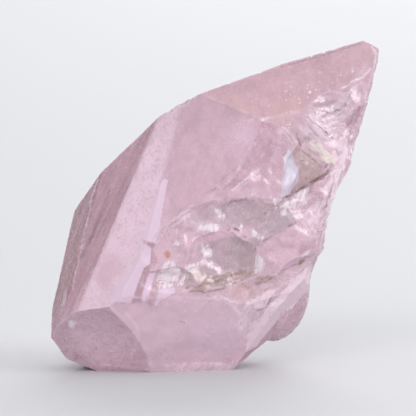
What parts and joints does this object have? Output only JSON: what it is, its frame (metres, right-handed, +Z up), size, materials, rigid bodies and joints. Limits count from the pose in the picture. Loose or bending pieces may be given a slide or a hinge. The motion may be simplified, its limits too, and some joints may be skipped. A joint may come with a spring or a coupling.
{
  "type": "morganite crystal",
  "caption": "Loose pale pink beryl crystal standing on a flat break, with flat prism faces at the left and top and a broken, scooped and clear-windowed front.",
  "frame": {"origin": "middle of the box the crystal stands in, on the surface it stands on", "axes": "+Z up, -Y towards someone who looks at the best side, +X to that person's right"},
  "size_m": [0.0692, 0.0372, 0.0691],
  "materials": {
    "pink_beryl": "see-through pale pink crystal, satin growth faces, glossy shell-shaped breaks, milky veils and a little brown iron stain"
  },
  "bodies": {
    "root": {"morganite_crystal": "pink_beryl"}
  },
  "joints": []
}
